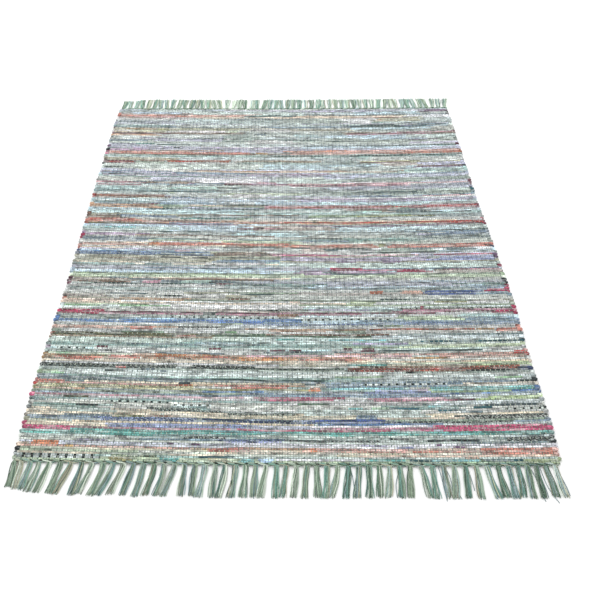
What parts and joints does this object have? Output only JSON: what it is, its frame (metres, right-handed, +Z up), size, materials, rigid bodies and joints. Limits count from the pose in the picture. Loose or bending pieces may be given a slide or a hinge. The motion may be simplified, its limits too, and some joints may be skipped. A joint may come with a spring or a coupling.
{
  "type": "rag rug",
  "caption": "Flat hand-woven cotton rag rug with multicoloured weft stripes, uneven selvedges, and a braided, tasselled edge at each end.",
  "frame": {"origin": "middle of the rug's underside, on the floor", "axes": "+X across the rug along the weft, +Y along the rug from the near fringe to the far one, +Z up"},
  "size_m": [1.2236, 2.009, 0.0078],
  "materials": {
    "rag_cloth": "matt woven cotton rags in stripes of pale mint, grey, lilac and cream, with coral, pink, blue, turquoise, olive and navy accents",
    "warp_yarn": "matt twisted cotton yarn in mixed sage, teal and cream"
  },
  "bodies": {
    "root": {"woven_body": "rag_cloth", "fringe_front": "warp_yarn", "fringe_back": "warp_yarn"}
  },
  "joints": []
}
